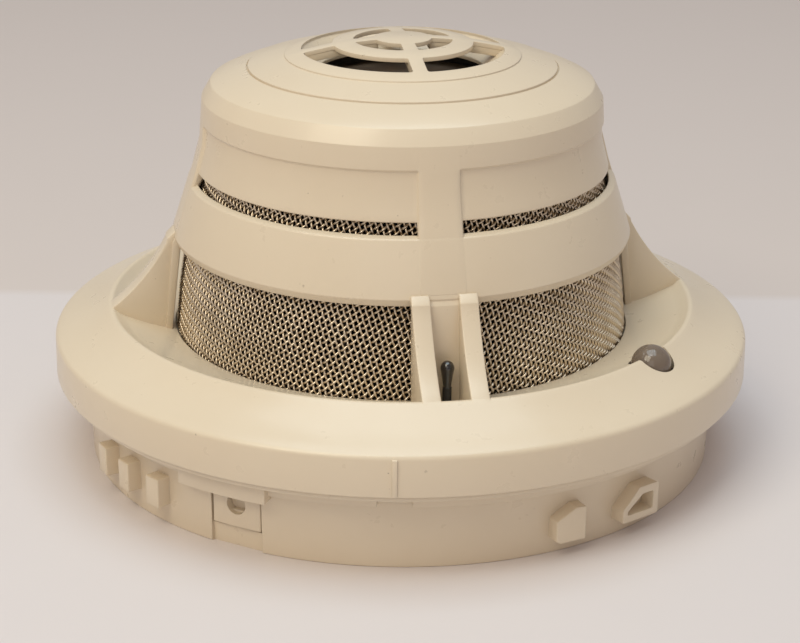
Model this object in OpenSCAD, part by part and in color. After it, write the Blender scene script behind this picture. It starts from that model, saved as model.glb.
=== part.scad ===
// Plug-in smoke detector head: multi-sensor fire detector with a sounder under its top grille.
// Origin: centre of the skirt's bottom rim. +Z points up through the dome, -Y is the thermistor side.

/* [Flange] */
// Outer radius of the flange
flange_r = 58.5; // [57:0.5:60]
// Height of the flange's lower edge above the skirt's rim
flange_z = 14.1; // [13.8:0.1:15]
// Height at which the flange's wall turns into its crown
flange_wall_top = 20.2; // [19.5:0.1:21]
// Radius of the crown's inner rim
rim_r = 48.9; // [48:0.1:50]
// Height of the crown's inner rim
rim_z = 25.5; // [25:0.1:26]
// Height of the recess floor at its inner edge
recess_z = 21; // [20.8:0.1:21.6]
// Wall thickness of the cover
cover_wall = 1.6; // [1.5:0.1:2]

/* [Tower] */
// Outer radius of the band at its lower edge
band_r = 38.3; // [38:0.1:39]
// Height of the band's lower edge
band_z = 37.4; // [36.5:0.1:38]
// Outer radius of the band at its upper edge
band_top_r = 35.5; // [35.2:0.1:36]
// Height of the band's upper edge
band_top_z = 45.6; // [45:0.1:46]
// Height at which the dome's panels end, above the upper air slot
panel_z = 48.2; // [47.8:0.1:49]
// Radius of the dome's shoulder
shoulder_r = 32.9; // [32.5:0.1:33.5]
// Height of the dome's shoulder
shoulder_z = 59.7; // [59:0.1:60.5]
// Height of the dome's highest point
top_z = 69.1; // [68.8:0.1:70]

/* [Grille] */
// Radius of the round opening at the top
grille_r = 16.6; // [15.5:0.1:17]
// Radius at the lower end of the funnel inside the opening
throat_r = 13.6; // [13:0.1:15]
// Outer radius of the ring in the opening
grille_ring_r = 11.5; // [11:0.1:12.5]
// Inner radius of the ring in the opening
grille_ring_in_r = 8.1; // [7:0.1:8.5]
// Radius of the disc at the grille's centre
hub_r = 4.7; // [4:0.1:5.5]
// Width of each grille spoke
spoke_w = 2.3; // [1.8:0.1:3]

/* [Straps and fins] */
// Half of the angle that each strap covers
strap_half_deg = 5.6; // [5:0.1:7]
// Distance of each front fin's middle from the centre plane
front_fin_y = 3.7; // [3.5:0.1:4]
// Thickness of the two front fins
front_fin_t = 2.9; // [2.4:0.1:3]
// Thickness of the side and back fins
side_fin_t = 4; // [3:0.1:4.6]

/* [Skirt] */
// Outer radius of the skirt
skirt_r = 53; // [52.5:0.1:53.5]
// Wall thickness of the skirt
skirt_wall = 2.2; // [2:0.1:2.5]
// Height of the floor plate's underside
floor_z = 6; // [5.6:0.1:6.4]
// Thickness of the floor plate
floor_t = 2; // [1.6:0.1:2]

/* [Latch] */
// Direction in which the latch window faces
latch_deg = -127.8; // [-130:0.1:-125]
// Width of the latch window
latch_window_w = 9; // [8.6:0.1:9.4]
// Radius of the hole in the latch
latch_hole_r = 1.65; // [1.4:0.05:1.7]

/* [Sensors] */
// Radius at which the thermistor stands
thermistor_r = 41.6; // [41:0.1:42.5]
// Radius of the thermistor bead
bead_r = 1.05; // [0.9:0.05:1.2]
// Radius at which the light pipe stands
lens_at_r = 48.8; // [48.4:0.1:49.4]
// Direction of the light pipe
lens_deg = -45.8; // [-48:0.1:-44]
// Radius of the light pipe
lens_r = 3.2; // [2.8:0.1:3.3]
// Outer radius of the optical chamber
chamber_r = 30; // [28:0.5:31]
// Number of baffles in the labyrinth
baffles = 20; // [16:1:24]

/* [Hidden] */
$fn = 96;
ivory = "#d9ccb0";
black = "#1c1c1d";
brass = "#c9a75a";
steel = "#b9bbbd";
board = "#1f5b3a";

inner_wall = 56.7;
panel_recess = 0.4;
slot_z = band_top_z + 0.8;
inner_top_r = shoulder_r - 1.6;
cap_drop = 2;
cap_ball_r = (grille_r * grille_r + cap_drop * cap_drop) / (2 * cap_drop);
cap_z = top_z - cap_drop;
step_b_r = 19.3;
step_b_z = 66.35;
step_c_r = 25.4;
step_c_z = 64.6;
lens_dome_z = 23.4;
step_h = 0.25;

floor_top = floor_z + floor_t;
board_z = 12;
board_t = 1.6;
board_top = board_z + board_t;
board_r = 52.6;
boss_at_r = 46;
boss_degs = [20, 110, 200, 290];
post_at_r = 38;
post_degs = [65, 155, 245, 335];

pivot_z = 9;
pivot_r = 50.7;
pin_r = 0.6;
tab_gap = 0.3;
tab_w = latch_window_w - 2 * tab_gap;
tab_z = 3.4;
window_z = 3.1;

optic_z = 31;
optic_at_r = 17;
emitter_deg = 70;
photodiode_deg = 290;
chamber_top = 43;
lid_t = 2;
carrier_z = chamber_top + lid_t;
sounder_z = 48;
sounder_r = 20.3;
sounder_top = 62;

// Points of an arc about [r, z], from angle a to angle b in n steps
function arc(r, z, radius, a, b, n) =
    [for (i = [0 : n]) let (t = a + (b - a) * i / n) [r + radius * cos(t), z + radius * sin(t)]];

// A ring sector between two angles, swept from a profile of [radius, height] points
module sector(points, from, to) {
    rotate([0, 0, from])
        rotate_extrude(angle = to - from) polygon(points);
}

// A rectangle profile of [radius, height] points
function band_box(r1, r2, z1, z2) = [[r1, z1], [r2, z1], [r2, z2], [r1, z2]];

// Children at a radius and a direction, turned so that +X points outwards
module at(r, deg, z = 0) {
    rotate([0, 0, deg]) translate([r, 0, z]) children();
}

// ---------------------------------------------------------------- cover

// Flange, crown and recess as one section
module flange_ring() {
    rotate_extrude() polygon(concat(
        [[inner_wall, flange_z], [flange_r, flange_z]],
        arc(flange_r - 1.2, flange_wall_top - 0.3, 1.1, 0, 62, 5),
        [[54.6, 22.95], [51.6, 24.45]],
        arc(rim_r + 0.2, rim_z - 0.9, 0.7, 65, 112, 4),
        [[rim_r - 0.6, rim_z - 0.9], [46.5, 23.55], [44, 22.6], [41.5, 21.8], [38.5, recess_z]],
        [[38.5, recess_z - cover_wall], [41, recess_z - cover_wall], [46, 21.6], [49.4, 23.1]],
        [[50.4, 22.7], [55.6, 20], [inner_wall, 18.6]]
    ));
}

// Band between the two air slots
module band() {
    rotate_extrude() polygon([
        [band_r - 1.6, band_z - 1.2], [band_r - 0.35, band_z - 1.2], [band_r, band_z - 0.5],
        [band_r - 0.1, band_z + 0.3], [band_top_r, band_top_z], [band_top_r - 0.35, band_top_z + 0.5],
        [34.25, slot_z]
    ]);
}

// Dome from the upper air slot to the grille opening, with its two fine steps
module dome_shell() {
    rotate_extrude() polygon([
        [33.9, slot_z - 0.3], [35.1, slot_z - 0.3], [34.65, panel_z], [33.5, 53], [33.3, 56],
        [shoulder_r, shoulder_z], [31.6, 61.9], [31, 62.35],
        [step_c_r, step_c_z - step_h], [step_c_r - 0.12, step_c_z],
        [step_b_r, step_b_z - step_h], [step_b_r - 0.12, step_b_z],
        [grille_r, cap_z], [grille_r, cap_z - 0.4], [throat_r, cap_z - 3.2], [throat_r, cap_z - 4],
        [grille_r + 0.6, cap_z - 2.1], [step_b_r + 0.7, step_b_z - 1.7],
        [step_c_r, step_c_z - 1.9], [30.3, 60.9], [inner_top_r, 59], [33, panel_z], [33.9, slot_z - 0.3]
    ]);
}

// Panels set back between the straps, and the upper air slot under them
module between_straps() {
    for (a = [0, 90, 180, 270]) {
        sector(
            [[34.95 - panel_recess, slot_z], [40, slot_z], [40, 56], [33.3 - panel_recess, 56],
             [33.45 - panel_recess, 53], [34.65 - panel_recess, panel_z]],
            a + strap_half_deg, a + 90 - strap_half_deg
        );
        sector(band_box(32, 40, slot_z, panel_z), a + strap_half_deg, a + 90 - strap_half_deg);
    }
}

// Ring, hub and spokes that follow the dome's cap
module grille() {
    intersection() {
        translate([0, 0, top_z - cap_ball_r]) difference() {
            sphere(r = cap_ball_r, $fn = 200);
            sphere(r = cap_ball_r - 1.6, $fn = 200);
        }
        union() {
            difference() {
                translate([0, 0, 60]) cylinder(r = grille_ring_r, h = 12);
                translate([0, 0, 59]) cylinder(r = grille_ring_in_r, h = 14);
            }
            translate([0, 0, 60]) cylinder(r = hub_r, h = 12);
            for (a = [0, 90])
                rotate([0, 0, a]) translate([-grille_r - 0.6, -spoke_w / 2, 60])
                    cube([2 * grille_r + 1.2, spoke_w, 12]);
        }
    }
}

// Upright gusset from the band down to the flange's rim
module fin(thickness) {
    rotate([90, 0, 0]) translate([0, 0, -thickness / 2]) linear_extrude(thickness) polygon([
        [39.3, recess_z - 0.5], [38.4, band_z - 0.9], [37.6, band_z], [38, band_z + 0.6],
        [39.5, band_z - 1], [41.1, 33.3], [43, 30.8], [45, 28.5], [47, 26.5], [rim_r + 0.6, rim_z - 0.5],
        [rim_r + 0.6, rim_z - 1.2], [rim_r - 0.6, rim_z - 1.7], [46, 22.6]
    ]);
}

// Upright post beside the screen, from the recess floor to the band
module post(width) {
    half_deg = asin(width / 2 / 39);
    sector([
        [39.2, recess_z - 0.5], [37.2, band_z - 0.9], [37.2, band_z + 0.2], [38.1, band_z - 0.1],
        [38.6, band_z - 1], [40.4, recess_z - 0.5]
    ], -half_deg, half_deg);
}

module outer_cover() {
    color(ivory) difference() {
        union() {
            flange_ring();
            band();
            difference() {
                dome_shell();
                between_straps();
            }
            grille();
            for (a = [0, 90, 180]) rotate([0, 0, a]) {
                fin(side_fin_t);
                post(side_fin_t + 0.6);
            }
            rotate([0, 0, 270]) {
                for (side = [-1, 1]) translate([0, side * front_fin_y, 0]) fin(front_fin_t);
                post(2 * front_fin_y);
            }
            at(flange_r - 0.6, -100.5, flange_z) translate([0, -0.4, 0]) cube([0.8, 0.8, 6]);
        }
        at(lens_at_r, lens_deg, 18) cylinder(r = lens_r + 0.4, h = 10);
        at(thermistor_r, -90, 18) cylinder(r = 1.15, h = 5);
    }
}

// Outer surface of the screen as [radius, height] points, bottom to top
screen_line = [[38.1, 19.2], [38, 21.2], [37.3, 28], [36.1, 35.4], [34.9, 40.5], [33.4, 46.2], [32.7, 49.4]];

module insect_screen() {
    color(steel) rotate_extrude() polygon(concat(
        screen_line,
        [for (i = [len(screen_line) - 1 : -1 : 0]) screen_line[i] - [0.5, 0]]
    ));
}

module screen_retainer() {
    color(ivory) rotate_extrude() polygon(
        [[36.6, 17.2], [40.2, 17.2], [40.2, 19.4], [38.15, 19.4], [38.15, 19.2], [37.3, 19.2], [37.3, 20],
         [36.6, 20]]
    );
}

// ---------------------------------------------------------------- base

// Plain keying lug on the skirt
module plain_lug(deg) {
    at(skirt_r - 0.5, deg, 3.5) translate([0, -1.5, 0]) cube([2.9, 3, 4.9]);
}

// Outline of a five-sided bayonet lug, as seen from outside
function lug_outline(w, h, chamfer_w, chamfer_h) =
    [[0, 0], [w, 0], [w, h], [chamfer_w, h], [0, h - chamfer_h]];

module solid_lug(deg) {
    at(skirt_r - 0.5, deg, 2.4) rotate([90, 0, 90]) linear_extrude(2.7)
        translate([-2.2, 0]) polygon(lug_outline(5.2, 5.6, 3.2, 1.8));
}

module hollow_lug(deg) {
    at(skirt_r - 0.8, deg, 2.4) rotate([90, 0, 90]) linear_extrude(3) difference() {
        translate([-3, 0]) polygon(lug_outline(8, 5.6, 3.6, 3));
        translate([-2, 1.2]) polygon(lug_outline(5.8, 3.2, 3.6, 2.4));
    }
}

// Solid of revolution that carries the skirt, the floor plate and the cover's seat
module base_body() {
    rotate_extrude() polygon([
        [0, floor_z], [skirt_r - skirt_wall, floor_z], [skirt_r - skirt_wall, 0], [skirt_r, 0],
        [skirt_r, 10.7], [54.6, 10.7], [54.6, 13.1], [57.6, 13.1], [57.6, flange_z - 0.3],
        [56.3, flange_z - 0.3], [56.3, 16.6], [55, 16.6], [54.2, 12], [skirt_r - skirt_wall, 12],
        [skirt_r - skirt_wall, floor_top], [0, floor_top]
    ]);
}

module base_moulding() {
    color(ivory) difference() {
        union() {
            base_body();
            sector(band_box(53.5, 55.6, 9.6, 13.1), latch_deg - 9.5, latch_deg + 6.8);
            for (deg = [-159.5, -151.9, -143.8]) plain_lug(deg);
            for (deg = [-72.1, 48, 132]) solid_lug(deg);
            for (deg = [-58.3, 61.8, 145.8]) hollow_lug(deg);
            for (deg = boss_degs) at(boss_at_r, deg, floor_z + 1) cylinder(r = 3, h = board_z - floor_z - 1);
            at(0, latch_deg) for (side = [-1, 1])
                translate([48.9, side * (latch_window_w / 2 + 1) - 1, 6.5]) cube([2.6, 2, 5.2]);
        }
        at(0, latch_deg) {
            translate([48.6, -latch_window_w / 2, window_z]) cube([8, latch_window_w, 6.4]);
            translate([48.6, -latch_window_w / 2, window_z]) cube([3.6, latch_window_w, 7.3]);
            translate([52.2, -latch_window_w / 2, -1]) cube([6, latch_window_w, 5]);
            translate([pivot_r, 0, pivot_z]) rotate([90, 0, 0])
                cylinder(r = pin_r + 0.05, h = latch_window_w + 3.6, center = true);
        }
        sector(band_box(skirt_r + 0.2, 56, 10.6, 12.9), -103.4, -97.7);
        for (deg = boss_degs) at(boss_at_r, deg, floor_top) cylinder(r = 1.25, h = 20);
        for (deg = post_degs) at(post_at_r, deg, 0) cylinder(r = 1.25, h = 20);
    }
}

module locking_latch() {
    color(ivory) difference() {
        union() {
            intersection() {
                sector(band_box(51.3, skirt_r - 0.1, tab_z, 9.2), latch_deg - 8, latch_deg + 8);
                at(0, latch_deg) translate([45, -tab_w / 2, 0]) cube([12, tab_w, 12]);
            }
            at(0, latch_deg) translate([pivot_r, 0, pivot_z]) rotate([90, 0, 0])
                cylinder(r = 1.2, h = tab_w, center = true);
        }
        at(0, latch_deg) {
            translate([pivot_r, 0, pivot_z]) rotate([90, 0, 0])
                cylinder(r = pin_r + 0.05, h = 12, center = true);
            translate([52, 0, 7.2]) rotate([0, 90, 0]) cylinder(r = latch_hole_r, h = 3, center = true);
            translate([48, -1.6, 7.4]) cube([4, 3.2, 3.5]);
            translate([50, 0.7, 4.8]) cube([1.9, 0.8, 3]);
        }
    }
}

module latch_pin() {
    color(steel) at(0, latch_deg) translate([pivot_r, 0, pivot_z]) rotate([90, 0, 0])
        cylinder(r = pin_r, h = latch_window_w + 3.4, center = true);
}

// Torsion spring: its coils round the pin and two straight legs
module latch_spring() {
    color(steel) at(0, latch_deg) {
        translate([pivot_r, 0, pivot_z]) rotate([90, 0, 0]) difference() {
            cylinder(r = 1.05, h = 2.6, center = true);
            cylinder(r = 0.7, h = 4, center = true);
        }
        translate([pivot_r + 0.87, 1.1, 5]) cylinder(r = 0.18, h = pivot_z - 5);
        translate([pivot_r, -1.1, floor_top + 0.2]) rotate([0, -90, 0]) cylinder(r = 0.18, h = 3.3);
    }
}

// ---------------------------------------------------------------- contacts and board

// Flat spring-brass blade with a raised tip, under the floor plate
module contact_blade(deg) {
    color(brass) rotate([0, 0, deg]) difference() {
        union() {
            translate([post_at_r - 3, -4, floor_z - 0.8]) cube([6, 14, 0.8]);
            translate([post_at_r - 3, 9.2, floor_z - 3.2]) cube([6, 0.8, 3.2]);
            translate([post_at_r - 3, 3, floor_z - 3.2]) cube([6, 7, 0.8]);
        }
        translate([post_at_r, 0, 0]) cylinder(r = 1.25, h = 20);
    }
}
module contact_blade_1() { contact_blade(post_degs[0]); }
module contact_blade_2() { contact_blade(post_degs[1]); }
module contact_blade_3() { contact_blade(post_degs[2]); }
module contact_blade_4() { contact_blade(post_degs[3]); }

module contact_posts() {
    color(brass) for (deg = post_degs) at(post_at_r, deg, 0) {
        translate([0, 0, floor_z - 1.4]) cylinder(r = 2.1, h = 0.6);
        translate([0, 0, floor_z - 1]) cylinder(r = 1.2, h = board_top + 1 - floor_z + 0.6);
    }
}

module main_board() {
    color(board) difference() {
        translate([0, 0, board_z]) cylinder(r = board_r, h = board_t);
        for (deg = boss_degs) at(boss_at_r, deg, 10) cylinder(r = 1.7, h = 6);
        for (deg = post_degs) at(post_at_r, deg, 10) cylinder(r = 1.25, h = 6);
    }
}

module board_screws() {
    color(steel) for (deg = boss_degs) at(boss_at_r, deg, 0) difference() {
        union() {
            translate([0, 0, floor_top]) cylinder(r = 1.2, h = board_top - floor_top);
            translate([0, 0, board_top]) cylinder(r = 2.7, h = 1.6);
        }
        translate([-2, -0.3, board_top + 0.9]) cube([4, 0.6, 2]);
        translate([-0.3, -2, board_top + 0.9]) cube([0.6, 4, 2]);
    }
}

module microcontroller() {
    color(black) at(39, 130, board_top) translate([-3.5, -3.5, 0]) cube([7, 7, 1.2]);
}

module smoothing_capacitor() {
    color(black) at(39.5, 180, board_top) cylinder(r = 3.15, h = 3.2);
}

module sounder_transformer() {
    color(black) at(43, 90, board_top) translate([-4, -4, 0]) cube([8, 8, 3.2]);
}

module board_header() {
    color(black) at(34.5, 0, board_top) translate([-1.5, -4, 0]) cube([3, 8, 3.2]);
}

module indicator_led() {
    color("white") at(lens_at_r, lens_deg, board_top) cylinder(r = 1.4, h = 2.2);
}

// Light pipe over the indicator: straight body, domed top, pocket for the indicator
module light_pipe() {
    color("#8b7f6f") at(lens_at_r, lens_deg, 0) rotate_extrude($fn = 64) polygon(concat(
        [[1.6, board_top], [2.2, board_top], [2.2, 19.5], [lens_r - 0.1, 20.2], [lens_r, lens_dome_z]],
        arc(0, lens_dome_z, lens_r, 10, 90, 8),
        [[0, board_top + 2.5], [1.6, board_top + 2.5]]
    ));
}

module thermistor() {
    color(black) at(thermistor_r, -90, 0) rotate_extrude($fn = 48) polygon(concat(
        [[0, 24.4], [0.72, 24.4], [0.78, 25.4]],
        arc(0, 27.6, bead_r, -25, 90, 8)
    ));
}

module thermistor_sleeve() {
    color(black) at(thermistor_r, -90, board_top) cylinder(r = 0.7, h = 24.4 - board_top);
}

// ---------------------------------------------------------------- optical chamber

module optic_holder(deg) {
    at(optic_at_r, deg, 0) {
        translate([-3.4, -3.6, 19]) cube([8, 7.2, optic_z - 19]);
        translate([-3.4, 0, optic_z]) rotate([0, 90, 0]) cylinder(r = 3.6, h = 8);
    }
}

module chamber_base() {
    color(black) difference() {
        union() {
            translate([0, 0, board_top]) cylinder(r = chamber_r, h = 6.4);
            optic_holder(emitter_deg);
            optic_holder(photodiode_deg);
        }
        for (deg = [emitter_deg, photodiode_deg])
            at(optic_at_r, deg, optic_z) rotate([0, 90, 0]) cylinder(r = 2.55, h = 20, center = true);
        translate([0, 0, 18.6]) cylinder(r = 9, h = 3);
    }
}

// Angled light-trap blade: a straight part and a bent tip
module baffle() {
    translate([chamber_r - 6, -0.5, 0]) cube([5.6, 1, chamber_top - 21.4]);
    translate([chamber_r - 6, -0.5, 0]) rotate([0, 0, -60]) cube([3.2, 1, chamber_top - 21.4]);
}

module labyrinth() {
    color(black) {
        translate([0, 0, 20]) difference() {
            cylinder(r = chamber_r, h = 1.6);
            translate([0, 0, -1]) cylinder(r = chamber_r - 5, h = 4);
        }
        for (i = [0 : baffles - 1]) rotate([0, 0, (i + 0.5) * 360 / baffles]) translate([0, 0, 21.4]) baffle();
    }
}

module chamber_lid() {
    color(black) difference() {
        union() {
            translate([0, 0, chamber_top]) cylinder(r = chamber_r, h = lid_t);
            translate([0, 0, chamber_top - 3]) cylinder(r1 = 0.4, r2 = 6.4, h = 3.2);
        }
        for (a = [45, 225]) at(24.7, a, 40) cylinder(r = 1.25, h = 10);
    }
}

// Round 5 mm optical component lying along +X, lens towards the chamber's middle
module optic(deg) {
    at(optic_at_r, deg, optic_z) rotate([0, -90, 0]) rotate_extrude($fn = 48) polygon(concat(
        [[0, -6.2], [2.9, -6.2], [2.9, -5.2], [2.5, -5.2]],
        arc(0, 0.6, 2.5, 0, 90, 6)
    ));
}
module ir_emitter() { color("#4a4560") optic(emitter_deg); }
module photodiode() { color("#2b2233") optic(photodiode_deg); }

module photodiode_shield() {
    color(steel) at(optic_at_r, photodiode_deg, optic_z) rotate([0, 90, 0]) difference() {
        translate([0, 0, 6.25]) cylinder(r = 3, h = 0.4);
        translate([0, 0, 6]) cylinder(r = 0.8, h = 2);
    }
}

// ---------------------------------------------------------------- sounder

module sounder_carrier() {
    color(black) difference() {
        union() {
            translate([0, 0, carrier_z]) cylinder(r = 27, h = 2);
            translate([0, 0, carrier_z + 2]) cylinder(r = 22.4, h = 12);
        }
        translate([0, 0, sounder_z]) cylinder(r = sounder_r + 0.1, h = 20);
        for (a = [45, 225]) at(24.7, a, 40) cylinder(r = 1.25, h = 10);
    }
}

module carrier_screws() {
    color(steel) for (a = [45, 225]) at(24.7, a, 0) difference() {
        union() {
            translate([0, 0, chamber_top + 0.2]) cylinder(r = 1.2, h = lid_t + 2);
            translate([0, 0, carrier_z + 2]) cylinder(r = 2, h = 1.2);
        }
        translate([-2, -0.25, carrier_z + 2.6]) cube([4, 0.5, 2]);
    }
}

module sounder_housing() {
    color(black) difference() {
        translate([0, 0, sounder_z]) cylinder(r = sounder_r, h = sounder_top - sounder_z - 1);
        translate([0, 0, sounder_z + 1.6]) cylinder(r = sounder_r - 3.3, h = 20);
        translate([0, 0, sounder_z - 1]) cylinder(r = 2, h = 5);
    }
}

module piezo_disc() {
    color(brass) translate([0, 0, 60.1]) cylinder(r = 12.5, h = 0.4);
}

module sounder_diaphragm() {
    color("#3a3c42") {
        translate([0, 0, 61]) cylinder(r = sounder_r - 0.1, h = 0.4);
        translate([0, 0, 60.5]) cylinder(r = 13.5, h = 0.7);
    }
}

module sounder_front() {
    color(black) rotate_extrude() polygon([
        [16.6, 61.4], [sounder_r, 61.4], [sounder_r, 63], [17.4, 63.4], [16.6, 62.6]
    ]);
}

module sounder_gasket() {
    color("#2a2a2a") rotate_extrude() polygon([[17.6, 63.4], [20, 63.05], [20, 64.1], [17.6, 64.7]]);
}

// Straight run of the sounder's lead between two points
module lead_run(a, b) {
    d = b - a;
    translate(a) rotate([0, acos(d[2] / norm(d)), atan2(d[1], d[0])]) cylinder(r = 0.7, h = norm(d), $fn = 24);
    translate(b) sphere(r = 0.8, $fn = 24);
}

module sounder_lead() {
    route = [
        [34.5, 0, 16.8], [34.5, 0, 18.4], [31.6, 0, 24], [31.6, 0, 43], [29.6, 0, 47.6], [26.8, 0, 49.2],
        [23.25, 0, 49.2]
    ];
    color("#8a2f2a") {
        for (i = [0 : len(route) - 2]) lead_run(route[i], route[i + 1]);
    }
}

outer_cover();
insect_screen();
screen_retainer();
base_moulding();
locking_latch();
latch_pin();
latch_spring();
contact_blade_1();
contact_blade_2();
contact_blade_3();
contact_blade_4();
contact_posts();
main_board();
board_screws();
microcontroller();
smoothing_capacitor();
sounder_transformer();
board_header();
indicator_led();
light_pipe();
thermistor();
thermistor_sleeve();
chamber_base();
labyrinth();
chamber_lid();
ir_emitter();
photodiode();
photodiode_shield();
sounder_carrier();
carrier_screws();
sounder_housing();
piezo_disc();
sounder_diaphragm();
sounder_front();
sounder_gasket();
sounder_lead();
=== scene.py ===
"""Smoke detector head: finished meshes, finishes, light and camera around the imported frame."""

import logging
import math
from collections.abc import Iterable, Sequence
from dataclasses import dataclass
from enum import Enum

import bmesh
import bpy
from mathutils import Matrix, Vector

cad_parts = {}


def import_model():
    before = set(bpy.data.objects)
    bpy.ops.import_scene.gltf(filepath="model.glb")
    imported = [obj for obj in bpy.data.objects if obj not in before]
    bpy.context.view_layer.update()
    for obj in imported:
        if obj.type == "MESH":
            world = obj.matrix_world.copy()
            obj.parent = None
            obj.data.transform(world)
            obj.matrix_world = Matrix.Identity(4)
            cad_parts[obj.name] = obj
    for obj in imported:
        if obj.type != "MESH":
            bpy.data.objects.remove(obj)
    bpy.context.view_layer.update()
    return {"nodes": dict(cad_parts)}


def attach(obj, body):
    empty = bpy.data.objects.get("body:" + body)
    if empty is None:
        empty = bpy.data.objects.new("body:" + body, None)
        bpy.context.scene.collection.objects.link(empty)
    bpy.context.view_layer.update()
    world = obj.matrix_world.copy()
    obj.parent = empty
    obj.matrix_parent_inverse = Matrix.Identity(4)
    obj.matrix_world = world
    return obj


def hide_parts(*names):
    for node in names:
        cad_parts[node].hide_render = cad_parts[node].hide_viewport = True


LOG = logging.getLogger("smoke_detector")
MM = 0.001

Corner = tuple[float, float, float]
Place = tuple[float, float]


class Body(Enum):
    """The rigid bodies that pieces ride on."""

    BASE = "base"
    COVER = "cover"
    LATCH = "latch"


# ---------------------------------------------------------------- outlines


def rounded(corners: Sequence[Corner], steps: int = 4, closed: bool = True) -> list[Place]:
    """Turns corners into an outline whose corners are rounded by arcs.

    Args:
        corners: Two coordinates and a corner radius for each corner.
        steps: Segments in each rounded corner.
        closed: Whether the last corner joins the first.

    Returns:
        The outline's points. Corners with no radius give one point.
    """
    outline: list[Place] = []
    count = len(corners)
    for i, (x, y, radius) in enumerate(corners):
        is_end = not closed and i in (0, count - 1)
        if radius <= 0 or is_end:
            outline.append((x, y))
            continue
        here = Vector((x, y))
        back = Vector(corners[i - 1][:2]) - here
        ahead = Vector(corners[(i + 1) % count][:2]) - here
        half = back.angle(ahead) / 2
        reach = min(radius / math.tan(half), 0.49 * min(back.length, ahead.length))
        start = here + back.normalized() * reach
        end = here + ahead.normalized() * reach
        middle = here + (back.normalized() + ahead.normalized()).normalized() * (reach / math.cos(half))
        first, last = (start - middle).normalized(), (end - middle).normalized()
        for k in range(steps + 1):
            spoke = first.slerp(last, k / steps) * (start - middle).length
            outline.append(tuple(middle + spoke))
    return outline


def bow(start: Place, end: Place, rise: float, steps: int) -> list[Corner]:
    """Makes the inner points of a shallow arch between two points.

    Args:
        start: The arch's first point.
        end: The arch's last point.
        rise: How far the arch's middle stands off the straight line, to the left of its direction.
        steps: Segments in the arch.

    Returns:
        The points between start and end, as corners with no radius.
    """
    a, b = Vector(start), Vector(end)
    along = b - a
    side = Vector((-along.y, along.x)).normalized()
    points = []
    for k in range(1, steps):
        t = k / steps
        place = a + along * t + side * (rise * 4 * t * (1 - t))
        points.append((place.x, place.y, 0.0))
    return points


def sweep(start: Place, control: Place, end: Place, steps: int) -> list[Corner]:
    """Makes the points of a quadratic curve, ends included, as corners with no radius.

    Args:
        start: The curve's first point.
        control: The point that the curve bends towards.
        end: The curve's last point.
        steps: Segments in the curve.

    Returns:
        The curve's points.
    """
    a, b, c = Vector(start), Vector(control), Vector(end)
    points = []
    for k in range(steps + 1):
        t = k / steps
        place = a * (1 - t) ** 2 + b * (2 * t * (1 - t)) + c * t**2
        points.append((place.x, place.y, 0.0))
    return points


# ---------------------------------------------------------------- mesh work


def closed_loop(bm: bmesh.types.BMesh, points: Iterable[Vector]) -> list[bmesh.types.BMEdge]:
    """Draws a closed loop of edges.

    Args:
        bm: The mesh to draw in.
        points: The loop's points, in order.

    Returns:
        The loop's edges.
    """
    verts = [bm.verts.new(p) for p in points]
    return [bm.edges.new((verts[i - 1], v)) for i, v in enumerate(verts)]


def section_edges(bm: bmesh.types.BMesh, outline: Sequence[Place]) -> list[bmesh.types.BMEdge]:
    """Draws a section to be spun. It stays open along the axis, where both its ends lie on the axis.

    Args:
        bm: The mesh to draw in.
        outline: The section's points, as radius and height.

    Returns:
        The section's edges.
    """
    verts = [bm.verts.new((r, 0, z)) for r, z in outline]
    edges = [bm.edges.new(pair) for pair in zip(verts, verts[1:])]
    if outline[0][0] > 0 or outline[-1][0] > 0:
        edges.append(bm.edges.new((verts[-1], verts[0])))
    return edges


def tidy(bm: bmesh.types.BMesh, gap: float = 1e-4) -> bmesh.types.BMesh:
    """Merges doubles and turns the faces outwards.

    Args:
        bm: The mesh to tidy.
        gap: The distance within which vertices merge, in millimetres.

    Returns:
        The same mesh.
    """
    bmesh.ops.remove_doubles(bm, verts=bm.verts, dist=gap)
    bmesh.ops.dissolve_degenerate(bm, edges=bm.edges, dist=gap)
    bmesh.ops.recalc_face_normals(bm, faces=bm.faces)
    return bm


def turned(outline: Sequence[Place], steps: int = 256) -> bmesh.types.BMesh:
    """Spins a closed outline of radius and height a full turn about the vertical axis.

    Args:
        outline: The section's points.
        steps: Segments in the turn.

    Returns:
        The ring or disc as a closed mesh.
    """
    bm = bmesh.new()
    edges = section_edges(bm, outline)
    bmesh.ops.spin(
        bm, geom=list(bm.verts) + edges, cent=(0, 0, 0), axis=(0, 0, 1), dvec=(0, 0, 0),
        angle=math.tau, steps=steps, use_merge=True, use_duplicate=False,
    )
    return tidy(bm)


def turned_sector(outline: Sequence[Place], start: float, end: float, steps: int) -> bmesh.types.BMesh:
    """Spins a closed outline between two directions and closes both ends.

    Args:
        outline: The section's points, as radius and height.
        start: The direction of the first end, in degrees.
        end: The direction of the last end, in degrees.
        steps: Segments between the ends.

    Returns:
        The sector as a closed mesh.
    """
    bm = bmesh.new()
    edges = closed_loop(bm, [Vector((r, 0, z)) for r, z in outline])
    bmesh.ops.rotate(bm, verts=bm.verts, cent=(0, 0, 0), matrix=Matrix.Rotation(math.radians(start), 3, "Z"))
    face = bmesh.ops.contextual_create(bm, geom=edges)["faces"]
    bmesh.ops.spin(
        bm, geom=face, cent=(0, 0, 0), axis=(0, 0, 1), dvec=(0, 0, 0),
        angle=math.radians(end - start), steps=steps, use_merge=False, use_duplicate=False,
    )
    return tidy(bm)


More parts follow.
